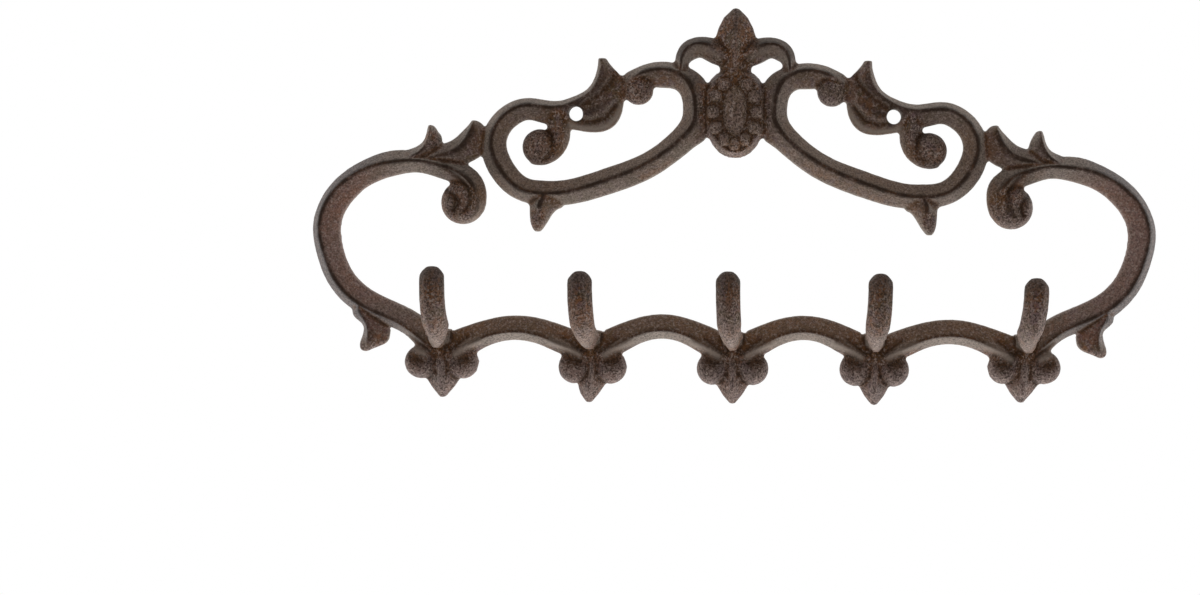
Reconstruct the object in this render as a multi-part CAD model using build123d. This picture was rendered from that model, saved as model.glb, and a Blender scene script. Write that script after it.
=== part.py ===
from build123d import *
import math
import os

# Coat hook rack, cast in one piece: keeled scrollwork over a rail of upright hooks.
# The relief is drawn as it is seen from the front, x to the right, y up and z out from the wall,
# with the origin midway between the two screw holes on the flat back. It is stood up at the end.

# Overall sizes in millimetres, heights and drops taken from the screw line
rack_width = 320.0
finial_height = 40.5
rail_drop = 92.0
screw_spacing = 120.0
screw_hole = 5.6

# Keeled bars: width across the flat back, height of the ridge and of the upright edges
band_width = 9.5
ridge_height = 8.0
edge_wall = 3.2
grinding_stock = 1.0
ball_sides = 10

# Scrolls beside the boss: their ridge's reach past the screws, its lowest and its highest line
scroll_reach = 31.4
scroll_drop = 30.2
scroll_rise = 17.2
curl_ball = 13.6
curl_height = 9.0
knob_ball = 11.2
knob_height = 8.0

# Outer arms: the level of their widest point, of their shoulder, the ball that ends them and
# the stretch beside the scroll where their inner leaf leans on it
arm_drop = 43.0
shoulder_drop = 18.5
arm_ball = 16.6
arm_ball_height = 9.4
leaf_lean = 12.4

# Hook rail and its hooks
inner_pitch = 53.5
outer_pitch = 56.8
inner_arch_rise = 10.8
outer_arch_rise = 9.8
hook_reach = 38.0
hook_rise = 34.2
hook_lift = 5.2
hook_bend = 17.5
hook_slope = 1.5
hook_width = 8.8
hook_depth = 8.6
hook_edge = 2.7
hook_neck = 9.0
hook_root_width = 5.6
hook_root_depth = 15.0

# Fleur under each hook
fleur_length = 17.0
outer_fleur_rise = 1.4
fleur_width = 11.0
fleur_height = 10.0
fleur_ball = 12.6
fleur_ball_spread = 14.6
fleur_ball_drop = 3.6
fleur_ball_height = 9.6

# Boss in the middle, with its beads and its oval dome, and the finial leaf above it
boss_width = 24.2
boss_height = 34.6
boss_centre = 1.0
boss_thickness = 6.6
boss_draft = 18.0
bead_count = 12
bead_sides = 8
bead_size = 5.0
bead_height = 2.0
bead_margin = 4.4
dome_width = 10.0
dome_length = 21.0
dome_height = 10.4
dome_slope = 42.0
finial_width = 15.6
finial_crest = 9.6

screw_x = screw_spacing / 2
scroll_far = screw_x + scroll_reach
arm_ridge_share = 0.35
arm_x = rack_width / 2 - arm_ridge_share * band_width
outer_hook_x = inner_pitch + outer_pitch
hook_places = (-outer_hook_x, -inner_pitch, 0.0, inner_pitch, outer_hook_x)


def spaced(t, marks):
    """Length at t on a scale whose whole numbers fall on the marks."""
    step = min(max(int(t), 0), len(marks) - 2)
    return marks[step] + (t - step) * (marks[step + 1] - marks[step])


def lay(x_marks, y_marks, stations):
    """Lay stations drawn on a grid into place.

    A station is a point of the ridge on the grid, the reach of the edge to its left and to its
    right in bar widths, and the height of the ridge in ridge heights.
    """
    return [
        (
            spaced(u, x_marks),
            spaced(v, y_marks),
            left * band_width,
            right * band_width,
            crest * ridge_height,
        )
        for u, v, left, right, crest in stations
    ]


def keel(stations, straight=False):
    """Loft a keeled bar along its ridge: upright edges, two slopes that meet in the ridge.

    A bar with a straight ridge is cut in flats from station to station.
    """
    ridge = Spline(*[(x, y) for x, y, *_ in stations])
    sections = []
    for x, y, left, right, crest in stations:
        along = ridge.tangent_at((x, y, 0))
        across = Plane(origin=(x, y, 0), x_dir=(-along.Y, along.X, 0), z_dir=along)
        outline = Polygon(
            (left, -grinding_stock),
            (left, edge_wall),
            (0, crest),
            (-right, edge_wall),
            (-right, -grinding_stock),
            align=None,
        )
        sections.append(across * outline)
    return loft(sections, ruled=straight)


def ball(x, y, size, height):
    """A ball set into the relief, cut in flats, with its front at the given height."""
    radius = size / 2
    centre = height - radius
    steps = [(radius, -grinding_stock)]
    for turn in (0, 34, 66):
        angle = math.radians(turn)
        steps.append((radius * math.cos(angle), centre + radius * math.sin(angle)))
    corners = [(0, 0, height)]
    for number in range(ball_sides):
        round_about = 2 * math.pi * number / ball_sides
        for reach, level in steps:
            corners.append((reach * math.cos(round_about), reach * math.sin(round_about), level))
    return Pos(x, y, 0) * ConvexPolyhedron(corners)


# Scroll: one bar from the knob over the boss, along the bottom, round the outer end and into a leaf
scroll_x = (boss_width / 2, screw_x, scroll_far)
scroll_y = (-scroll_drop, 0.0, scroll_rise)
scroll = keel(lay(scroll_x, scroll_y, [
    (0.60, 1.67, 0.32, 0.32, 0.85),
    (0.50, 1.89, 0.50, 0.32, 1.00),
    (0.34, 2.00, 0.74, 0.30, 1.00),
    (0.20, 1.92, 0.68, 0.36, 1.00),
    (0.10, 1.64, 0.54, 0.60, 1.00),
    (0.06, 1.17, 0.50, 0.60, 1.00),
    (0.09, 0.85, 0.50, 0.64, 1.00),
    (0.24, 0.60, 0.45, 0.57, 1.00),
    (0.47, 0.36, 0.43, 0.59, 1.00),
    (0.79, 0.15, 0.48, 0.56, 1.00),
    (1.06, 0.03, 0.48, 0.52, 1.00),
    (1.39, 0.00, 0.51, 0.47, 1.00),
    (1.69, 0.08, 0.48, 0.48, 1.00),
    (1.91, 0.33, 0.50, 0.53, 1.00),
    (2.00, 0.64, 0.52, 0.46, 1.00),
    (1.90, 0.92, 0.57, 0.36, 1.00),
    (1.65, 1.16, 0.58, 0.30, 1.00),
    (1.36, 1.15, 0.68, 0.25, 1.00),
    (1.10, 1.19, 1.03, 0.25, 1.00),
    (0.94, 1.36, 1.58, 0.21, 1.00),
    (0.84, 1.63, 1.26, 0.20, 0.95),
    (0.80, 1.92, 0.66, 0.18, 0.80),
    (0.79, 2.23, 0.16, 0.16, 0.55),
]))

# Inner curl: a neck that drops from the leaf and winds into a ball
curl = keel(lay(scroll_x, scroll_y, [
    (1.22, 1.02, 0.45, 0.45, 0.90),
    (1.20, 0.82, 0.48, 0.42, 0.92),
    (1.23, 0.63, 0.45, 0.42, 0.94),
    (1.35, 0.50, 0.42, 0.40, 0.90),
    (1.52, 0.48, 0.35, 0.35, 0.80),
]))
curl_end = ball(spaced(1.43, scroll_x), spaced(0.58, scroll_y), curl_ball, curl_height)

# Knob where the scroll starts, and the web that ties it to the leaf
knob = ball(spaced(0.51, scroll_x), spaced(1.53, scroll_y), knob_ball, knob_height)
knob_web = keel(lay(scroll_x, scroll_y, [
    (0.50, 1.70, 0.40, 0.40, 0.75),
    (0.62, 1.58, 0.38, 0.45, 0.66),
    (0.76, 1.42, 0.40, 0.40, 0.75),
]))

# Spur under the scroll
scroll_spur = keel(lay(scroll_x, scroll_y, [
    (1.33, 0.03, 0.50, 0.90, 0.92),
    (1.44, -0.16, 0.42, 0.66, 0.95),
    (1.46, -0.32, 0.33, 0.42, 0.85),
    (1.46, -0.43, 0.22, 0.22, 0.70),
    (1.46, -0.48, 0.09, 0.09, 0.55),
]))

# Lobe from the foot of the finial over to the scroll
lobe = keel(lay(scroll_x, scroll_y, [
    (-0.21, 2.26, 0.32, 0.32, 0.90),
    (-0.08, 2.50, 0.33, 0.62, 0.98),
    (0.03, 2.57, 0.27, 0.55, 1.00),
    (0.13, 2.46, 0.27, 0.54, 0.98),
    (0.17, 2.24, 0.26, 0.38, 0.94),
    (0.18, 1.95, 0.30, 0.32, 0.88),
]))

# Outer arm: one bar from the end hook out, up, over the shoulder and down into a ball
arm_low_x = (outer_hook_x, arm_x)
arm_low_y = (-rail_drop, -arm_drop)
arm_high_x = (scroll_far, arm_x)
arm_high_y = (-arm_drop, -shoulder_drop)
arm = keel(
    lay(arm_low_x, arm_low_y, [
        (0.00, -0.02, 0.53, 0.34, 0.90),
        (0.17, 0.15, 0.60, 0.37, 1.00),
        (0.34, 0.26, 0.64, 0.34, 1.00),
        (0.53, 0.34, 0.63, 0.40, 1.00),
        (0.70, 0.43, 0.64, 0.40, 1.00),
        (0.86, 0.59, 0.64, 0.40, 1.00),
        (0.96, 0.80, 0.66, 0.38, 1.00),
    ])
    + lay(arm_high_x, arm_high_y, [
        (1.00, 0.00, 0.74, arm_ridge_share, 1.00),
        (0.95, 0.41, 0.75, 0.31, 1.00),
        (0.84, 0.71, 0.68, 0.34, 1.00),
        (0.70, 0.91, 0.61, 0.38, 1.00),
        (0.56, 0.99, 0.53, 0.46, 1.00),
        (0.43, 1.01, 0.48, 0.34, 1.00),
        (0.29, 0.94, 0.56, 0.28, 1.00),
        (0.18, 0.79, 0.53, 0.45, 1.00),
        (0.13, 0.53, 0.50, 0.50, 0.95),
        (0.15, 0.29, 0.40, 0.45, 0.85),
    ])
)
arm_end = ball(spaced(0.20, arm_high_x), spaced(0.37, arm_high_y), arm_ball, arm_ball_height)

# Two leaves that rise from the shoulder, the inner one leaning on the scroll
outer_leaf = keel(lay(arm_high_x, arm_high_y, [
    (0.53, 1.01, 0.30, 0.26, 0.80),
    (0.44, 1.12, 0.55, 0.32, 0.90),
    (0.40, 1.27, 0.68, 0.22, 0.92),
    (0.38, 1.43, 0.43, 0.18, 0.85),
    (0.37, 1.56, 0.10, 0.10, 0.60),
]))
lean_x = (scroll_far, scroll_far + leaf_lean, arm_x)
inner_leaf = keel(lay(lean_x, arm_high_y, [
    (1.26, 1.03, 0.26, 0.26, 0.80),
    (1.11, 1.10, 0.42, 0.46, 0.88),
    (1.00, 1.21, 0.68, 0.44, 0.92),
    (0.74, 1.37, 0.80, 0.37, 0.92),
    (0.61, 1.54, 0.52, 0.20, 0.80),
    (0.58, 1.64, 0.10, 0.10, 0.60),
]))

# Spur that hangs from the lower arm
arm_spur = keel(lay(arm_low_x, arm_low_y, [
    (0.66, 0.40, 0.32, 0.42, 0.92),
    (0.61, 0.26, 0.25, 0.80, 0.92),
    (0.60, 0.15, 0.29, 0.78, 0.86),
    (0.61, 0.08, 0.35, 0.58, 0.74),
    (0.60, 0.04, 0.16, 0.16, 0.55),
]))

# One half of the scrollwork, and the other half as its mirror image
right_half = Part() + [
    scroll, curl, curl_end, knob, knob_web, scroll_spur, lobe,
    arm, arm_end, outer_leaf, inner_leaf, arm_spur,
]
left_half = mirror(right_half, about=Plane.YZ)

# Rail: an arch from each hook to the next
arches = []
for start, end in zip(hook_places, hook_places[1:]):
    outer = max(abs(start), abs(end)) > inner_pitch
    rise = outer_arch_rise if outer else inner_arch_rise
    arches.append(keel(lay((start, end), (-rail_drop, -rail_drop + rise), [
        (-0.04, -0.14, 0.70, 0.34, 0.90),
        (0.05, 0.06, 0.76, 0.36, 0.98),
        (0.15, 0.37, 0.74, 0.42, 1.00),
        (0.29, 0.76, 0.63, 0.40, 1.00),
        (0.50, 1.00, 0.60, 0.37, 1.00),
        (0.71, 0.76, 0.63, 0.40, 1.00),
        (0.85, 0.37, 0.74, 0.42, 1.00),
        (0.95, 0.06, 0.76, 0.36, 0.98),
        (1.04, -0.14, 0.70, 0.34, 0.90),
    ])))


def prong():
    """One hook: it climbs from the rail on a narrow root, bends upright and has a rounded tip."""
    root_y = -rail_drop
    run_y = root_y + hook_lift
    tip_radius = hook_depth / 2
    tip_y = root_y + hook_rise - tip_radius
    rear_z = hook_reach - hook_depth
    tip = []
    for turn in (0, 45, 90, 135, 180):
        angle = math.radians(turn)
        tip.append((rear_z + tip_radius + tip_radius * math.cos(angle), tip_y + tip_radius * math.sin(angle)))
    profile = FilletPolyline(
        (-grinding_stock, root_y),
        (hook_neck, run_y),
        (hook_reach, run_y + hook_slope),
        *tip,
        (rear_z, run_y + hook_slope + hook_depth),
        (-grinding_stock, root_y + hook_root_depth),
        radius=(0, hook_bend, 0, 0, 0, 0, 0, hook_bend - hook_depth),
    )
    closing = Line(profile @ 1, profile @ 0)
    from_the_side = Plane(origin=(0, 0, 0), x_dir=(0, 0, 1), z_dir=(-1, 0, 0))
    bar = extrude(make_face(from_the_side * (Curve() + [profile, closing])), hook_width / 2, both=True)
    bar = chamfer(bar.faces().filter_by(Axis.X).edges(), hook_edge)
    flanks = Polygon(
        (-hook_root_width / 2, root_y),
        (hook_root_width / 2, root_y),
        (hook_width / 2, root_y + hook_root_depth),
        (hook_width / 2, root_y + hook_rise),
        (-hook_width / 2, root_y + hook_rise),
        (-hook_width / 2, root_y + hook_root_depth),
        align=None,
    )
    return bar & extrude(flanks, hook_reach + hook_depth, both=True)


def fleur(rise):
    """Two balls and a keeled leaf that hang under a hook, raised from the rail's line."""
    top_y = -rail_drop + rise
    leaf = keel([
        (0, top_y - t * fleur_length, reach * fleur_width, reach * fleur_width, crest * fleur_height)
        for t, reach, crest in [
            (-0.20, 0.36, 0.86),
            (0.25, 0.46, 1.00),
            (0.58, 0.47, 0.94),
            (0.80, 0.29, 0.75),
            (1.00, 0.07, 0.46),
        ]
    ], straight=True)
    balls = [
        ball(side * fleur_ball_spread / 2, top_y - fleur_ball_drop, fleur_ball, fleur_ball_height)
        for side in (-1, 1)
    ]
    return [leaf] + balls


# Hooks with their fleurs: the two at the ends have theirs a little higher
inner_hook = Part() + ([prong()] + fleur(0))
outer_hook = Part() + ([prong()] + fleur(outer_fleur_rise))
hooks = [Pos(x, 0, 0) * (outer_hook if abs(x) > inner_pitch else inner_hook) for x in hook_places]

# Boss: an oval plate with drafted sides, a ring of beads and a domed oval in the middle
boss_oval = SlotOverall(boss_height, boss_width, rotation=90)
boss_plate = Pos(0, boss_centre, 0) * extrude(boss_oval, boss_thickness, taper=boss_draft)
boss_plate += Pos(0, boss_centre, 0) * extrude(boss_oval, -grinding_stock)
beads = []
for number in range(bead_count):
    angle = math.radians(360 / bead_count * (number + 0.5))
    bead_x = (boss_width / 2 - bead_margin) * math.sin(angle)
    bead_y = boss_centre + (boss_height / 2 - bead_margin) * math.cos(angle)
    stud = loft([
        Pos(0, 0, -bead_height) * RegularPolygon(bead_size / 2, bead_sides),
        RegularPolygon(bead_size / 2, bead_sides),
        Pos(0, 0, bead_height) * RegularPolygon(bead_size / 4, bead_sides),
    ], ruled=True)
    beads.append(Pos(bead_x, bead_y, boss_thickness) * stud)
dome_oval = SlotOverall(dome_length, dome_width, rotation=90)
dome_rise = dome_height - boss_thickness
dome = Pos(0, boss_centre, boss_thickness) * extrude(dome_oval, dome_rise, taper=dome_slope)
dome += Pos(0, boss_centre, boss_thickness) * extrude(dome_oval, -dome_rise)

# Finial leaf above the boss
finial_y = (boss_centre + boss_height / 2, finial_height)
finial = keel([
    (0, spaced(t, finial_y), reach * finial_width, reach * finial_width, crest * finial_crest)
    for t, reach, crest in [
        (-0.25, 0.32, 0.80),
        (0.05, 0.40, 0.80),
        (0.28, 0.44, 0.95),
        (0.48, 0.50, 1.00),
        (0.66, 0.42, 0.95),
        (0.84, 0.29, 0.80),
        (0.97, 0.10, 0.60),
        (1.00, 0.05, 0.52),
    ]
], straight=True)

# One casting: everything fused, the back ground flat and the screw holes drilled
boss = Part() + ([boss_plate, dome, finial] + beads)
rack = Part() + ([right_half, left_half, boss] + arches + hooks)
rack = split(rack, bisect_by=Plane.XY, keep=Keep.TOP)
for side in (-1, 1):
    rack -= Pos(side * screw_x, 0, 0) * Cylinder(screw_hole / 2, 4 * ridge_height)
rack = Rot(90, 0, 0) * rack

os.makedirs("parts", exist_ok=True)
export_step(rack, "parts/hook_rack.step")
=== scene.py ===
import math

import bmesh
import bpy
import numpy
from mathutils import Matrix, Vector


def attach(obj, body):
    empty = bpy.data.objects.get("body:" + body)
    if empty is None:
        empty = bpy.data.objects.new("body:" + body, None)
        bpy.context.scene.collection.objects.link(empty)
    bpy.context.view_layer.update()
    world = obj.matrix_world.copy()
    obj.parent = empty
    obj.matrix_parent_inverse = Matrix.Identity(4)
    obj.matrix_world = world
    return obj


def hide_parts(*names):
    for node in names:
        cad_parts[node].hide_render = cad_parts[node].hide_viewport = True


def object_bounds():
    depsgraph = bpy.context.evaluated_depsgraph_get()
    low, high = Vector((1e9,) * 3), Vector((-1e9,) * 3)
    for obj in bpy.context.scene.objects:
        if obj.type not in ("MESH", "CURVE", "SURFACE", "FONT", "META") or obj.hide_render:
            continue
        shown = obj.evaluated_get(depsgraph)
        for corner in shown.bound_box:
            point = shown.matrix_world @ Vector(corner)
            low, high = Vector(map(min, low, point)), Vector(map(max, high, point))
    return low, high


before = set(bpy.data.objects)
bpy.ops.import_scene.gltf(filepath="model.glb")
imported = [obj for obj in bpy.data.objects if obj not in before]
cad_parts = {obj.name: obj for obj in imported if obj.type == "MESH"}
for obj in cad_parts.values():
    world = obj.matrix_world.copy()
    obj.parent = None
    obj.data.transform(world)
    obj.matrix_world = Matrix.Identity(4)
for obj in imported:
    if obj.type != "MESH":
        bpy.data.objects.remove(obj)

cad_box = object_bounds()

# The casting: one sand-cast iron rack, its relief softened by the mould and fettled by hand.
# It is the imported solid's own form, closed into one skin, rounded at the edges and grained.
# It hangs on the wall by two screws through the leaves of its scrolls.
weld_reach = 1e-6
skin_pitch = 0.00055
edge_rounding = 5
triangle_limit = 190000
rack_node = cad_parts["hook_rack"]


def shaped(mesh, name, kind, **settings):
    """A plain mesh that one modifier makes of another mesh."""
    maker = bpy.data.objects.new(name, mesh)
    bpy.context.scene.collection.objects.link(maker)
    modifier = maker.modifiers.new(kind.lower(), kind)
    for key, value in settings.items():
        setattr(modifier, key, value)
    seen = maker.evaluated_get(bpy.context.evaluated_depsgraph_get())
    made = bpy.data.meshes.new_from_object(seen)
    bpy.data.objects.remove(maker)
    return made


# Round lumps in millimetres, seen from the front: across, up, half width, half height, front and depth.
# Both sides have the curl's ball, the knob, the arm's ball and the scroll's spur. The left arm's leaf
# is broader than the right one.
hook_places = (-110.3, -53.5, 0.0, 53.5, 110.3)
outer_ball_up, inner_ball_up, ball_aside, ball_half, ball_front = -94.2, -95.6, 7.3, 6.3, 9.6
tip_up, tip_half, tip_front = -62.1, 4.3, 38.0
lumps = []
for side in (-1, 1):
    lumps.append((side * 73.5, -12.7, 6.8, 6.8, 9.0, 6.8))
    lumps.append((side * 36.5, 9.1, 5.6, 5.6, 8.0, 5.6))
    lumps.append((side * 104.5, -33.9, 8.3, 8.3, 9.4, 8.3))
    lumps.append((side * 74.3, -39.6, 3.3, 4.0, 6.6, 4.2))
lumps.append((-114.2, -10.6, 3.0, 3.6, 5.8, 3.8))
for hook_x in hook_places:
    ball_up = outer_ball_up if hook_x in (hook_places[0], hook_places[-1]) else inner_ball_up
    for side in (-1, 1):
        lumps.append((hook_x + side * ball_aside, ball_up, ball_half, ball_half, ball_front, ball_half))
    lumps.append((hook_x, tip_up, tip_half, tip_half, tip_front, tip_half))
rounds = bmesh.new()
for lump_x, lump_z, half_width, half_height, lump_front, depth in lumps:
    seat = Matrix.Translation((lump_x / 1000, (depth - lump_front) / 1000, lump_z / 1000))
    reach = Matrix.Diagonal((half_width / 1000, depth / 1000, half_height / 1000, 1))
    bmesh.ops.create_uvsphere(rounds, u_segments=32, v_segments=16, radius=1.0, matrix=seat @ reach)
round_mesh = bpy.data.meshes.new("rack_rounds")
rounds.to_mesh(round_mesh)
rounds.free()
whole = bmesh.new()
whole.from_mesh(shaped(rack_node.data.copy(), "rack_welded", "WELD", merge_threshold=weld_reach))
whole.from_mesh(round_mesh)
solid = bpy.data.meshes.new("rack_solid")
whole.to_mesh(solid)
whole.free()
skin = shaped(solid, "rack_skin", "REMESH", mode="VOXEL", voxel_size=skin_pitch, adaptivity=0.0)
skin = shaped(skin, "rack_soft", "SMOOTH", factor=0.5, iterations=edge_rounding)

spots = numpy.empty(len(skin.vertices) * 3, dtype=numpy.float32)
skin.vertices.foreach_get("co", spots)
spots = spots.reshape(-1, 3)
across, front, up = spots[:, 0] * 1000, -spots[:, 1] * 1000, spots[:, 2] * 1000


def soft_step(values, low, high):
    """0 at low and 1 at high with soft ends, for an array of values."""
    share = numpy.clip((values - low) / (high - low), 0, 1)
    return share * share * (3 - 2 * share)


def gap_to(line, sideways):
    """How far each point of the skin lies from a line of points, in millimetres seen from the front."""
    far_off = 1e6
    nearest = numpy.full(len(up), far_off)
    for (from_x, from_z), (to_x, to_z) in zip(line, line[1:]):
        along_x, along_z = to_x - from_x, to_z - from_z
        share = (sideways - from_x) * along_x + (up - from_z) * along_z
        share = numpy.clip(share / (along_x ** 2 + along_z ** 2), 0, 1)
        off_x = sideways - from_x - share * along_x
        off_z = up - from_z - share * along_z
        nearest = numpy.minimum(nearest, off_x ** 2 + off_z ** 2)
    return numpy.sqrt(nearest)


# Boss face in millimetres: blocky beads in a ring, but none at its top, and an oval dome on a sunk
# ground. Its lower end is a little narrower. What lies behind relief_back isn't lifted.
boss_up, boss_ground, boss_half_width, boss_half_height = 1.0, 5.9, 11.2, 15.6
ring_half_width, ring_half_height, ring_places = 8.3, 12.0, 12
bead_half, bead_rise = 2.35, 2.5
dome_half_width, dome_half_height, dome_up, dome_rise = 4.5, 9.6, 1.6, 3.6
relief_back = 4.0
end_narrower, end_from, end_full, end_lowest, end_reach, end_whole = 0.12, -6, -10, -30, 16.0, 11.5
boss_face = numpy.full(len(up), boss_ground)
for number in range(1, ring_places):
    angle = math.radians(360 / ring_places * number)
    bead_x = ring_half_width * math.sin(angle)
    bead_z = boss_up + ring_half_height * math.cos(angle)
    gone = (numpy.abs(across - bead_x) / bead_half) ** 3 + (numpy.abs(up - bead_z) / bead_half) ** 3
    boss_face = numpy.maximum(boss_face, boss_ground + bead_rise * numpy.sqrt(numpy.clip(1 - gone, 0, 1)))
gone = (across / dome_half_width) ** 2 + ((up - dome_up) / dome_half_height) ** 2
boss_face = numpy.maximum(boss_face, boss_ground + dome_rise * numpy.sqrt(numpy.clip(1 - gone, 0, 1)))
from_boss = numpy.sqrt((across / boss_half_width) ** 2 + ((up - boss_up) / boss_half_height) ** 2)
on_boss = soft_step(from_boss, 1.0, 0.90) * (front > relief_back)
front = front + (boss_face - front) * on_boss
at_end = soft_step(up, end_from, end_full) * (up > end_lowest)
narrower = end_narrower * at_end * soft_step(numpy.abs(across), end_reach, end_whole)
across = across * (1 - narrower)

# Hooks: each climbs out of the rail from below its prong, narrows at the nose and leans a little.
# In millimetres: place, shift of the tip and of the nose sideways, and how much higher the tip is.
hook_leans = (
    (-110.3, 2.0, 2.8, 0.9), (-53.5, -1.5, -0.4, -0.3), (0.0, -1.5, -0.8, 0.0),
    (53.5, 0.0, -1.0, -0.2), (110.3, -0.6, -2.6, -1.3),
)
hook_half, hook_low, hook_high, hook_back = 7.0, -93.0, -50.0, 7.5
lean_from, lean_full = 12.0, 26.0
root_drop, root_from, root_to, root_half, rail_top, root_left = 1.6, 10.0, 26.0, 5.2, -82.4, 0.12
nose_taper, nose_up, prong_up, tip_round = 0.36, -87.0, -78.0, 4.4
leaf_broader, leaf_from, leaf_to, leaf_reach, leaf_whole = 0.16, -98.0, -101.0, 8.5, 4.5
for hook_x, tip_shift, nose_shift, tip_rise in hook_leans:
    beside = across - hook_x
    near_hook = (numpy.abs(beside) < hook_half) & (up > hook_low) & (up < hook_high)
    on_hook = near_hook * soft_step(front, hook_back, root_from)
    stands_out = soft_step(front, lean_from, lean_full) * on_hook
    climbed = soft_step(up, nose_up, tip_up)
    from_tip = numpy.sqrt(beside ** 2 + (up - tip_up) ** 2)
    at_tip = near_hook & (up > tip_up) & (from_tip > tip_round)
    pulled = numpy.where(at_tip, tip_round / numpy.maximum(from_tip, tip_round), 1)
    across = across - beside * (1 - pulled)
    up = up - (up - tip_up) * (1 - pulled)
    across = across - beside * nose_taper * soft_step(up, prong_up, nose_up) * on_hook
    across = across + (nose_shift + (tip_shift - nose_shift) * climbed) * stands_out
    on_leaf = soft_step(up, leaf_from, leaf_to)
    broader = leaf_broader * on_leaf * soft_step(numpy.abs(beside), leaf_reach, leaf_whole)
    across = across + beside * broader
    above = numpy.clip(up - rail_top, 0, None) * near_hook * (numpy.abs(beside) < root_half)
    up = up - above * (1 - root_left) * (1 - soft_step(front, root_from - 1, root_to - 1))
    dropped = root_drop * on_hook * (1 - soft_step(front, root_from, root_to))
    up = up - dropped + tip_rise * climbed * stands_out

# The horns of the scroll leaves are broad on their inner side, in millimetres.
horn_x, horn_from, horn_full, horn_thin, horn_tip = 51.0, 10.5, 14.5, 17.0, 22.0
horn_broader, horn_reach, horn_whole = 0.17, -18.0, -7.0
beside = numpy.minimum(numpy.abs(across) - horn_x, 0)
on_horn = soft_step(up, horn_from, horn_full) * soft_step(up, horn_tip, horn_thin)
on_horn = on_horn * soft_step(beside, horn_reach, horn_whole)
across = across + numpy.sign(across) * beside * horn_broader * on_horn

# Each fleur's middle is webbed between its two balls, in millimetres.
web_up, web_half_width, web_half_height, web_front, web_whole = -95.8, 5.9, 5.6, 7.6, 0.55
for hook_x in hook_places:
    from_web = numpy.sqrt(((across - hook_x) / web_half_width) ** 2 + ((up - web_up) / web_half_height) ** 2)
    lifted = numpy.clip(web_front - front, 0, None) * (front > relief_back)
    front = front + lifted * soft_step(from_web, 1.0, web_whole)

# Lines chased into the pattern, in millimetres: depth, half width, tone and the points. A tone above zero
# paints shade along the line and one below zero paints a highlight, such as the lit bevel at the leaf's rim.
# Both sides have the leaf's four lines, the curl's one, the arm ball's two, the lobe's two, and the finial's
# tip and stem, which lie on the middle line.
chase_from, chase_over, relief_front = 3.0, 1.5, 12.0
both_sides = [
    (1.0, 1.5, 0.45, [(57.0, 3.2), (51.2, 7.2), (47.0, 11.4), (45.2, 15.0)]),
    (-0.7, 1.5, 0.0, [(55.0, -0.2), (49.4, 2.8), (45.6, 6.2)]),
    (1.0, 1.4, 0.55, [(58.9, -2.7), (53.8, -3.2), (48.7, -1.6), (44.9, 3.0)]),
    (0.8, 1.2, -0.95, [(62.0, -4.6), (57.6, -5.5), (51.9, -5.7), (47.9, -4.4), (44.7, -1.2), (43.0, 3.0)]),
    (0.7, 1.1, 0.50, [(71.6, -6.2), (69.2, -8.2), (68.4, -12.0), (69.2, -15.0), (71.2, -17.0)]),
    (0.4, 1.0, 0.70, [(109.7, -20.0), (105.3, -23.8), (102.4, -28.8), (102.0, -33.2), (104.3, -37.0)]),
    (1.2, 1.2, 0.80, [(111.2, -28.8), (108.0, -31.2), (106.8, -34.2), (108.0, -36.9)]),
    (0.0, 1.9, 0.60, [(22.3, 22.6), (18.8, 27.6), (14.6, 28.5), (9.7, 27.8), (7.3, 26.4)]),
    (0.0, 1.2, -0.50, [(19.6, 21.3), (15.2, 24.3), (10.3, 24.3), (6.4, 22.0)]),
    (0.0, 3.4, 0.50, [(0.0, 40.0), (0.0, 33.0)]),
    (-0.9, 1.7, 0.0, [(0.0, 27.0), (0.0, 19.5)]),
]
each_fleur = [
    (0.6, 0.9, 0.50, [(10.5, -84.6), (7.6, -86.5), (3.9, -89.6)]),
    (-0.6, 1.3, -0.90, [(15.0, -86.0), (9.5, -88.4), (5.6, -90.6)]),
    (1.3, 1.9, 0.70, [(6.6, -93.2), (9.4, -92.6)]),
    (0.6, 1.0, 0.35, [(2.4, -97.6), (4.0, -99.4), (6.6, -101.6)]),
    (-0.6, 1.2, 0.0, [(0.0, -93.5), (0.0, -104.0)]),
]
line_shade = numpy.zeros(len(up))
line_highlight = numpy.zeros(len(up))
sunk = numpy.zeros(len(up))
strokes = [(numpy.abs(across), stroke) for stroke in both_sides]
for hook_x in hook_places:
    strokes += [(numpy.abs(across - hook_x), stroke) for stroke in each_fleur]
for sideways, (depth, half_width, tone, line) in strokes:
    mark = numpy.exp(-(gap_to(line, sideways) / half_width) ** 2)
    sunk += depth * mark
    # Painted shade along the dark lines and a painted highlight along the pale ones.
    line_shade = numpy.maximum(line_shade, tone * mark)
    line_highlight = numpy.maximum(line_highlight, -tone * mark)
front = front - sunk * numpy.clip((front - chase_from) / chase_over, 0, 1) * (front < relief_front)

# Where rust has settled, in millimetres: across, up and reach, on both sides or at each fleur.
rusty_sides = ((97.5, -31, 4.5), (66, -14, 3.5))
rusty_fleur = ((8.6, -92.6, 2.6), (0.0, -89.5, 3.0))
rust_and_shade = numpy.zeros(len(up))
rust_places = [(numpy.abs(across), settled) for settled in rusty_sides]
for hook_x in hook_places:
    rust_places += [(numpy.abs(across - hook_x), settled) for settled in rusty_fleur]
for sideways, (at_x, at_z, reach) in rust_places:
    away = (sideways - at_x) ** 2 + (up - at_z) ** 2
    rust_and_shade = numpy.maximum(rust_and_shade, numpy.exp(-away / reach ** 2) * (front < relief_front))

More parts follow.
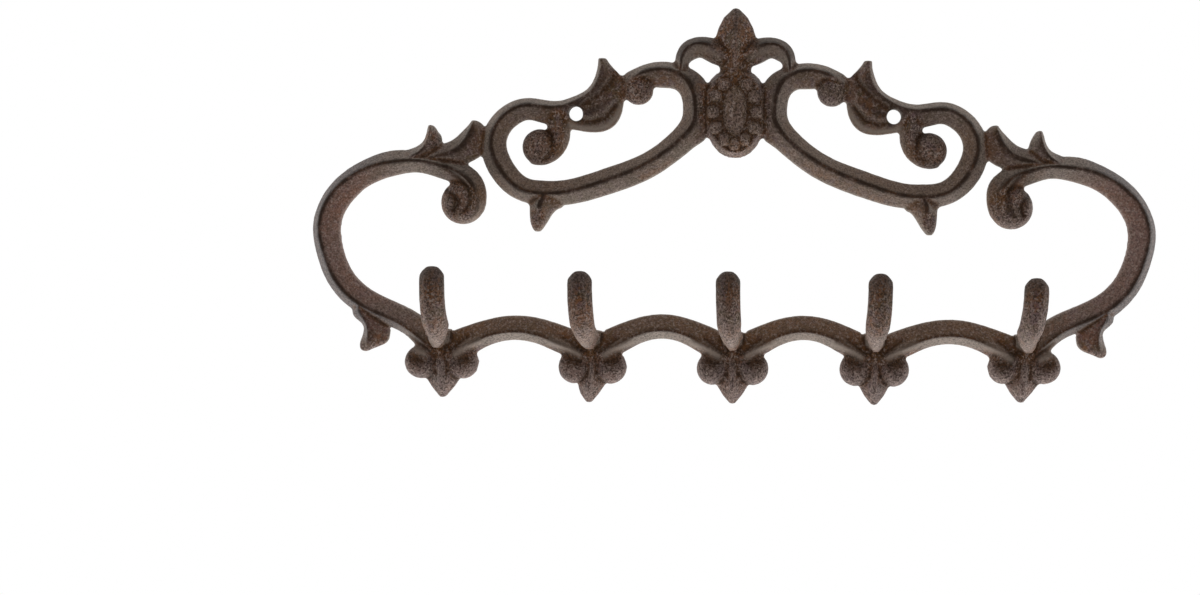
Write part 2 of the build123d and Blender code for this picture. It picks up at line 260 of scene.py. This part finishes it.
# What the hand-made pattern set askew, in millimetres: across, up, reach and the shift sideways.
askew = [
    (-158, -43, 16, 0.9), (158, -43, 16, -0.5), (-104.5, -34, 7, 3.6), (104.5, -34, 7, 0.8),
    (-119, -10, 5, 1.6), (119, -10, 5, -0.9), (-137, -87, 6, 1.2), (137, -87, 6, -0.7),
    (-74, -38, 5, 0.7), (74, -38, 5, -1.3), (-49, 20, 5, -0.6), (49, 20, 5, 0.4),
    (-110, -102, 8, 1.0), (-102, -95, 5, 1.0), (-61, -96, 5, 2.8), (46, -96, 5, 0.8),
    (61, -96, 5, -0.8), (103, -96, 5, -0.8), (110, -105, 6, -1.4), (-53, -105, 5, -0.8),
]
shift = numpy.zeros(len(up))
for at_x, at_z, reach, sideways in askew:
    away = (across - at_x) ** 2 + (up - at_z) ** 2
    shift += sideways * numpy.exp(-away / (2 * reach ** 2)) * (front < relief_front)
across = across + shift

# Off the keeled bars, where no crest gets its painted dark reflection: hooks, fleurs, finial, boss, lumps and
# the curl's fold.
# The body of the scroll's leaf counts a little. All in millimetres.
curl_fold = [(66.4, -1.5), (67.4, -10.0)]
leaf_body = [(57.0, 1.0), (50.0, 6.0), (47.5, 13.0)]
leaf_share = 0.25
on_finial = soft_step(up, 13.0, 16.0) * soft_step(numpy.abs(across), 10.0, 8.0)
off_bar = numpy.maximum(soft_step(front, 10.5, relief_front), soft_step(up, -86.0, -89.0))
off_bar = numpy.maximum(off_bar, on_finial)
off_bar = numpy.maximum(off_bar, soft_step(from_boss, 1.30, 1.15))
for lump_x, lump_z, half_width, half_height in (lump[:4] for lump in lumps):
    away = numpy.sqrt(((across - lump_x) / half_width) ** 2 + ((up - lump_z) / half_height) ** 2)
    off_bar = numpy.maximum(off_bar, soft_step(away, 1.10, 0.85))
off_bar = numpy.maximum(off_bar, soft_step(gap_to(curl_fold, numpy.abs(across)), 4.0, 2.2))
off_bar = numpy.maximum(off_bar, leaf_share * soft_step(gap_to(leaf_body, numpy.abs(across)), 9.0, 6.0))

# The back is ground flat, and the skin stays inside the solid's box with room left for its grain.
grain_room = 0.25
box_low, box_high = (numpy.array(corner) * 1000 for corner in cad_box)
across = numpy.clip(across, box_low[0] + grain_room, box_high[0] - grain_room)
front = numpy.clip(front, -box_high[1] + grain_room, -box_low[1] - grain_room)
up = numpy.clip(up, box_low[2] + grain_room, box_high[2] - grain_room)
spots = numpy.stack([across, -front, up], axis=1).astype(numpy.float32)
skin.vertices.foreach_set("co", spots.ravel() / 1000)
skin.update()

# Which way each place faces: the arms' outward facets get a painted cool grey reflection and their inward
# facets a warm tint, and the upper facets of the arches and those that face the eye of a scroll get a
# rust-brown painted shade.
turned_from, turned_full = 0.05, 0.40
arch_shade, scroll_shade = 0.68, 0.42
scroll_eye_x, scroll_eye_up = 55.0, -18.0
facing = numpy.empty(len(up) * 3, dtype=numpy.float32)
skin.vertex_normals.foreach_get("vector", facing)
facing = facing.reshape(-1, 3)
from_middle = numpy.abs(across)
steep = 1 - numpy.abs(facing[:, 1])
outward = facing[:, 0] * numpy.sign(across)
upward = facing[:, 2]
on_arm = soft_step(from_middle, 116.0, 130.0) * soft_step(up, -88.0, -80.0)
# Painted cool reflection on the arms' outward facets.
outward_reflection = on_arm * soft_step(outward, turned_from, turned_full)
warm = on_arm * soft_step(-outward, turned_from, turned_full)
on_rail = soft_step(from_middle, 122.0, 112.0) * soft_step(up, -70.0, -74.0) * soft_step(up, -90.0, -87.0)
on_arches = on_rail * soft_step(upward, turned_from, turned_full) * (front < relief_front)
off_eye_x, off_eye_up = from_middle - scroll_eye_x, up - scroll_eye_up
inward = -(outward * off_eye_x + upward * off_eye_up) / numpy.sqrt(off_eye_x ** 2 + off_eye_up ** 2 + 1)
in_scroll = soft_step(up, 2.0, -6.0) * soft_step(up, -48.0, -43.0)
in_scroll = in_scroll * soft_step(from_middle, 14.0, 22.0) * soft_step(from_middle, 102.0, 97.0)
in_scroll = in_scroll * soft_step(inward, turned_from, turned_full)
# Real rust spots and a rust-brown painted shade on the upward and inward facing facets share one mask.
rust_and_shade = numpy.maximum(rust_and_shade, numpy.maximum(arch_shade * on_arches, scroll_shade * in_scroll))

# What the skin tells its finish at each of its points.
told = {
    "off_bar": off_bar, "line_shade": line_shade, "line_highlight": line_highlight, "rust_and_shade": rust_and_shade,
    "steep": steep, "boss": on_boss, "outward_reflection": outward_reflection, "warm": warm,
}
for name, values in told.items():
    skin.attributes.new(name, "FLOAT", "POINT").data.foreach_set("value", values.astype(numpy.float32))


class Wire:
    """A node socket that takes part in plain arithmetic, one Math node for each operation."""

    def __init__(self, tree, socket):
        self.tree = tree
        self.socket = socket

    def node(self, kind, settings=None, out=0, **inputs):
        """Any other node: its settings first, then the values or links of its sockets."""
        made = self.tree.nodes.new(kind)
        for key, value in (settings or {}).items():
            setattr(made, key, value)
        for key, value in inputs.items():
            index = int(key[1:]) if key[0] == "i" and key[1:].isdigit() else key.replace("_", " ")
            if isinstance(value, Wire):
                self.tree.links.new(value.socket, made.inputs[index])
            else:
                made.inputs[index].default_value = value
        return Wire(self.tree, made.outputs[out] if made.outputs else None)

    def maths(self, operation, other, turned=False):
        """One Math node of this value and another, with the other first where it is turned."""
        first, second = (other, self) if turned else (self, other)
        return self.node("ShaderNodeMath", {"operation": operation}, i0=first, i1=second)

    def __add__(self, other):
        return self.maths("ADD", other)

    def __radd__(self, other):
        return self.maths("ADD", other, turned=True)

    def __sub__(self, other):
        return self.maths("SUBTRACT", other)

    def __rsub__(self, other):
        return self.maths("SUBTRACT", other, turned=True)

    def __mul__(self, other):
        return self.maths("MULTIPLY", other)

    def __rmul__(self, other):
        return self.maths("MULTIPLY", other, turned=True)

    def __truediv__(self, other):
        return self.maths("DIVIDE", other)

    def __rtruediv__(self, other):
        return self.maths("DIVIDE", other, turned=True)

    def between(self, low, high):
        """0 at low, 1 at high, with soft ends."""
        settings = {"interpolation_type": "SMOOTHSTEP"}
        return self.node("ShaderNodeMapRange", settings, Value=self, From_Min=low, From_Max=high)

    def blend(self, first, second):
        """Colour that goes from the first to the second as this value goes from 0 to 1."""
        settings = {"data_type": "RGBA", "clamp_factor": True}
        return self.node("ShaderNodeMix", settings, out=2, i0=self, i6=first, i7=second)


# Its finish: brown oxide over the sand skin, with rust left in the hollows and pale grains where the iron
# shows through. Over it lie painted light and shade: a dark reflection along the crests, shade in the creases
# and chased lines, a pale sheen on the steep flanks and highlights on raised tops.
rack_finish = bpy.data.materials.new("aged_cast_iron")
rack_finish.use_nodes = True
finish_tree = rack_finish.node_tree
finish_tree.nodes.clear()
iron = Wire(finish_tree, None)
place = iron.node("ShaderNodeTexCoord", out=3)


def speckle(size, detail=2.0, roughness=0.6, shift=(0.0, 0.0, 0.0)):
    """Noise on the casting's own coordinates with grains of about a size in metres."""
    moved = place.node("ShaderNodeMapping", Vector=place, Location=shift)
    return moved.node("ShaderNodeTexNoise", Vector=moved, Scale=1 / size, Detail=detail, Roughness=roughness)


def written(name):
    """A value that the skin carries at each of its points."""
    return iron.node("ShaderNodeAttribute", {"attribute_name": name}, out=2)


hollow, ridge, steep_here, line_shade_here = (written(name) for name in ("hollow", "ridge", "steep", "line_shade"))
off_bar_here, line_highlight_here, rust_and_shade_here = (written(name) for name in ("off_bar", "line_highlight", "rust_and_shade"))
boss_here, outward_reflection_here, warm_here = (written(name) for name in ("boss", "outward_reflection", "warm"))
on_bar = 1.0 - off_bar_here
patches = speckle(0.022, detail=3.0)
clouds = speckle(0.006, detail=3.0, shift=(0.3, 0.0, 0.0))
tints = speckle(0.0030, detail=2.0, shift=(0.0, 0.0, 0.4))
sand = speckle(0.0011, detail=2.0, roughness=0.7)
grit = speckle(0.0007, detail=1.0, shift=(0.0, 0.2, 0.0))
height = 0.0 - place.node("ShaderNodeSeparateXYZ", out=1, Vector=place)
level = place.node("ShaderNodeSeparateXYZ", out=2, Vector=place)
recess = hollow.between(0.02, 0.35)
# Painted shade in the deeper hollows and creases, weaker on the boss.
crease_shade = hollow.between(0.15, 0.75) * (1.0 - boss_here * 0.45)
# Painted dark reflection along the crests of the keeled bars, weaker low on the rail and broken by clouds.
crest_dark_reflection = ridge.between(0.03, 0.56) * height.between(0.0048, 0.0068) * on_bar
crest_dark_reflection = crest_dark_reflection * (0.50 + level.between(-0.082, -0.074) * 0.50) * (0.60 + clouds.between(0.40, 0.56) * 0.40)
# Darker brown over surfaces 3 to 13 mm out from the wall, fuller on the bars.
relief_darker = height.between(0.0030, 0.0080) * height.between(0.0130, 0.0100) * (0.35 + on_bar * 0.65)
# Painted pale sheen on steep flanks, mostly on the bars.
flank_sheen = steep_here.between(0.08, 0.42) * (0.20 + on_bar * 0.80)
grainy = 0.52 + off_bar_here * 0.34
# Painted shade on the upper part of each prong.
tip_shade = level.between(-0.0740, -0.0600) * height.between(0.022, 0.027)
fleur = level.between(-0.0895, -0.0935)
# Painted light on the lower part of each prong.
foot_light = level.between(-0.0745, -0.0850) * height.between(0.016, 0.022)
# Paler raised tops of beads, balls and leaf tips: partly wear, partly painted highlight.
worn_and_highlit = ridge.between(0.15, 0.80) * off_bar_here
rust_brown, stone_brown = (0.205, 0.087, 0.036, 1), (0.150, 0.099, 0.082, 1)
# The tones laid over the two browns, from the lowest to the uppermost: how much of each and its colour.
tones = (
    (clouds.between(0.44, 0.64), (0.112, 0.074, 0.042, 1)),
    (tints.between(0.50, 0.64) * 0.65, (0.156, 0.102, 0.112, 1)),
    # darker brown over the relief 3 to 13 mm out from the wall
    (relief_darker * 0.70, (0.072, 0.036, 0.020, 1)),
    # painted pale sheen on the steep flanks
    (flank_sheen * 0.80, (0.298, 0.252, 0.214, 1)),
    (boss_here * 0.22, (0.300, 0.190, 0.110, 1)),
    # painted cool reflection on the arms' outward facets
    (outward_reflection_here * 0.70, (0.166, 0.152, 0.158, 1)),
    (warm_here * 0.50, (0.235, 0.132, 0.112, 1)),
    # painted light on the prongs' lower parts
    (foot_light * 0.50, (0.300, 0.245, 0.212, 1)),
    # wear and painted highlight on raised tops
    (worn_and_highlit * 0.45, (0.220, 0.160, 0.140, 1)),
    (fleur * 0.45, (0.200, 0.152, 0.146, 1)),
    (recess * 0.60, (0.120, 0.050, 0.016, 1)),
    # real rust spots and rust-brown painted shade on facets that face up or into a scroll
    (rust_and_shade_here * 0.70, (0.150, 0.066, 0.022, 1)),
    (sand.between(0.50, 0.64) * grainy, (0.350, 0.268, 0.232, 1)),
    (grit.between(0.54, 0.38) * grainy * 0.85, (0.014, 0.007, 0.003, 1)),
    # painted shade in the creases
    (crease_shade * 0.75, (0.022, 0.009, 0.003, 1)),
    # painted highlight along the pale chased lines and bevels
    (line_highlight_here * 0.85, (0.300, 0.242, 0.200, 1)),
    # painted shade along the dark chased lines and creases
    (line_shade_here, (0.018, 0.008, 0.003, 1)),
    # painted shade on the prongs' upper parts
    (tip_shade * 0.60, (0.026, 0.018, 0.013, 1)),
    # painted dark reflection along the crests
    (crest_dark_reflection * 0.85, (0.018, 0.009, 0.005, 1)),
)
colour = patches.between(0.40, 0.60).blend(rust_brown, stone_brown)
for share, tone in tones:
    colour = share.blend(colour, tone)
relief = sand * 0.6 + grit * 0.4
grain = iron.node("ShaderNodeBump", Strength=0.7, Distance=0.0006, Height=relief)
surface = iron.node(
    "ShaderNodeBsdfPrincipled", Base_Color=colour, Roughness=0.45 + sand * 0.2, Metallic=0.0, Normal=grain,
    Specular_IOR_Level=0.08,
)
surface.node("ShaderNodeOutputMaterial", Surface=surface)


def cast_skin():
    """Geometry nodes: lumps and sand grain pushed out of a skin, with its hollows and ridges written down."""
    tree = bpy.data.node_groups.new("cast_skin", "GeometryNodeTree")
    tree.is_modifier = True
    tree.interface.new_socket("Geometry", in_out="INPUT", socket_type="NodeSocketGeometry")
    for name, default in (
        ("Lump size", 0.012), ("Lump height", 0.0003),
        ("Grain size", 0.0022), ("Grain height", 0.00022),
        ("Hollow reach", 0.0006), ("Ridge reach", 0.00060), ("Corner fill", 0.4),
    ):
        tree.interface.new_socket(name, in_out="INPUT", socket_type="NodeSocketFloat").default_value = default
    tree.interface.new_socket("Seed", in_out="INPUT", socket_type="NodeSocketFloat").default_value = 4.0
    tree.interface.new_socket("Finish", in_out="INPUT", socket_type="NodeSocketMaterial")
    tree.interface.new_socket("Geometry", in_out="OUTPUT", socket_type="NodeSocketGeometry")
    given = tree.nodes.new("NodeGroupInput")
    inputs = {socket.name: Wire(tree, socket) for socket in given.outputs}
    base = inputs["Geometry"]
    where = base.node("GeometryNodeInputPosition")
    normal = base.node("GeometryNodeInputNormal")
    kept = base
    for name, reach, times, sign in (("hollow", "Hollow reach", 20, 1.0), ("ridge", "Ridge reach", 30, -1.0)):
        level = base.node(
            "GeometryNodeBlurAttribute", {"data_type": "FLOAT_VECTOR"}, Value=where, Iterations=times,
        )
        rise = level.node("ShaderNodeVectorMath", {"operation": "SUBTRACT"}, i0=level, i1=where)
        depth = rise.node("ShaderNodeVectorMath", {"operation": "DOT_PRODUCT"}, out=1, i0=rise, i1=normal)
        kept = kept.node(
            "GeometryNodeStoreNamedAttribute", {"data_type": "FLOAT", "domain": "POINT"},
            Geometry=kept, Name=name, Value=depth * sign / inputs[reach],
        )
        if name == "hollow":
            fill = depth.maths("MAXIMUM", 0.0) * inputs["Corner fill"]
            raised = normal.node("ShaderNodeVectorMath", {"operation": "SCALE"}, i0=normal, Scale=fill)
            kept = kept.node("GeometryNodeSetPosition", Geometry=kept, Offset=raised)
    push = None
    for size, tall in (("Lump size", "Lump height"), ("Grain size", "Grain height")):
        noise = base.node(
            "ShaderNodeTexNoise", {"noise_dimensions": "4D"},
            Vector=where, W=inputs["Seed"], Scale=1 / inputs[size],
            Detail=2.0, Roughness=0.6,
        )
        step = (noise - 0.5) * inputs[tall]
        push = step if push is None else push + step
    offset = normal.node("ShaderNodeVectorMath", {"operation": "SCALE"}, i0=normal, Scale=push)
    moved = kept.node("GeometryNodeSetPosition", Geometry=kept, Offset=offset)
    real = moved.node("GeometryNodeRealizeInstances", Geometry=moved)
    done = real.node("GeometryNodeSetMaterial", Geometry=real, Material=inputs["Finish"])
    end = tree.nodes.new("NodeGroupOutput")
    tree.links.new(done.socket, end.inputs[0])
    return tree


casting = bpy.data.objects.new("casting", skin)
bpy.context.scene.collection.objects.link(casting)
skin_tree = cast_skin()
skin_maker = casting.modifiers.new("cast_skin", "NODES")
skin_maker.node_group = skin_tree
sockets = {item.name: item.identifier for item in skin_tree.interface.items_tree if item.in_out == "INPUT"}
skin_maker[sockets["Finish"]] = rack_finish
seen = casting.evaluated_get(bpy.context.evaluated_depsgraph_get())
plain = bpy.data.meshes.new_from_object(seen)
casting.modifiers.remove(skin_maker)
triangles = sum(len(polygon.vertices) - 2 for polygon in plain.polygons)
plain = shaped(plain, "rack_light", "DECIMATE", ratio=triangle_limit / triangles)
casting.data = plain
for polygon in plain.polygons:
    polygon.use_smooth = True
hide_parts("hook_rack")
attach(casting, "root")

# Floor: one plain pale sheet of paper well below the rack. It is matt, so that it keeps a faint soft
# shadow, and near white to the eye.
floor_half, floor_front, floor_back, floor_up = 1.2, -1.2, 0.35, -0.5
floor_mesh = bpy.data.meshes.new("floor")
floor_mesh.from_pydata([
    (-floor_half, floor_front, floor_up), (floor_half, floor_front, floor_up),
    (floor_half, floor_back, floor_up), (-floor_half, floor_back, floor_up),
], [], [(0, 1, 2, 3)])
floor = bpy.data.objects.new("floor", floor_mesh)
bpy.context.scene.collection.objects.link(floor)


def looked_at(tree):
    """1 for what the camera, a reflection or glass sees, and 0 for light on its way to a surface."""
    start = Wire(tree, None)
    by_camera, by_gloss, by_glass = (start.node("ShaderNodeLightPath", out=way) for way in (0, 3, 6))
    return by_camera.maths("MAXIMUM", by_gloss).maths("MAXIMUM", by_glass)


floor_paper = bpy.data.materials.new("floor_paper")
floor_paper.use_nodes = True
floor_paper.node_tree.nodes.clear()
floor_seen = looked_at(floor_paper.node_tree)
matt = floor_seen.node("ShaderNodeBsdfDiffuse", Color=(0.85, 0.85, 0.85, 1))
plain_white = floor_seen.node("ShaderNodeEmission", Color=(1, 1, 1, 1), Strength=1.0)
paper = floor_seen.node("ShaderNodeMixShader", i0=floor_seen * 0.7, i1=matt, i2=plain_white)
paper.node("ShaderNodeOutputMaterial", Surface=paper)
floor_mesh.materials.append(floor_paper)

# Light: four soft boxes round the rack, their middles set back behind the wall plane, a fifth low in
# front, and a dim fill from the room, which the camera and reflections see as plain white.
world = bpy.data.worlds.new("room")
bpy.context.scene.world = world
world.use_nodes = True
world.node_tree.nodes.clear()
room = looked_at(world.node_tree)
fill = room.node("ShaderNodeBackground", Color=(1, 1, 1, 1), Strength=0.38)
white = room.node("ShaderNodeBackground", Color=(1, 1, 1, 1), Strength=1.0)
shown = room.node("ShaderNodeMixShader", i0=room, i1=fill, i2=white)
shown.node("ShaderNodeOutputWorld", Surface=shown)
box_depth, left_glow, right_glow, top_glow, low_glow, front_glow = 0.34, 1.55, 1.90, 0.75, 2.9, 2.4
# Each box: its name, its size and place in metres, its turns about X and Y in degrees, and its glow.
for name, size, place_at, turn_x, turn_y, glow in (
    ("left_box", (0.70, box_depth), (-0.50, 0.15, -0.04), 0, -90, left_glow),
    ("right_box", (0.70, box_depth), (0.50, 0.15, -0.04), 0, 90, right_glow),
    ("top_box", (0.90, box_depth), (0.0, 0.15, 0.42), 0, 0, top_glow),
    ("low_box", (0.90, box_depth), (0.0, 0.15, -0.45), 0, 180, low_glow),
    ("front_box", (0.60, 0.60), (-0.10, -0.75, -0.55), 127, 0, front_glow),
):
    lamp = bpy.data.lights.new(name, "AREA")
    lamp.shape = "RECTANGLE"
    lamp.size, lamp.size_y = size
    lamp.energy = math.pi * glow * size[0] * size[1]
    holder = bpy.data.objects.new(name, lamp)
    bpy.context.scene.collection.objects.link(holder)
    holder.location = place_at
    holder.rotation_euler = (math.radians(turn_x), math.radians(turn_y), 0)

# Camera: straight on, a little right of the middle, and as far off as the picture's perspective asks
# for hooks of the solid's depth, which is itself a guess. The point midway between the screw holes
# stands at screws_u, screws_v in the frame's pixels.
frame_width, frame_height = 1200, 595
stand_off = 0.664
pixels_per_metre = 2635.0
tilt = math.radians(0.562)
eye_x, eye_z = 0.0082, -0.0345
screws_u, screws_v = 735.1, 115.7
camera = bpy.data.objects.new("camera", bpy.data.cameras.new("camera"))
bpy.context.scene.collection.objects.link(camera)
bpy.context.scene.camera = camera
camera.data.sensor_width = 36.0
camera.data.lens = camera.data.sensor_width * pixels_per_metre * stand_off / frame_width
camera.location = (eye_x, -stand_off, eye_z)
camera.rotation_euler = (math.radians(90), -tilt, 0)
eye_u = screws_u + pixels_per_metre * (eye_x * math.cos(tilt) + eye_z * math.sin(tilt))
eye_v = screws_v - pixels_per_metre * (eye_z * math.cos(tilt) - eye_x * math.sin(tilt))
camera.data.shift_x = (frame_width / 2 - eye_u) / frame_width
camera.data.shift_y = (eye_v - frame_height / 2) / frame_width

bpy.context.scene.view_settings.view_transform = "Standard"

bpy.context.view_layer.update()
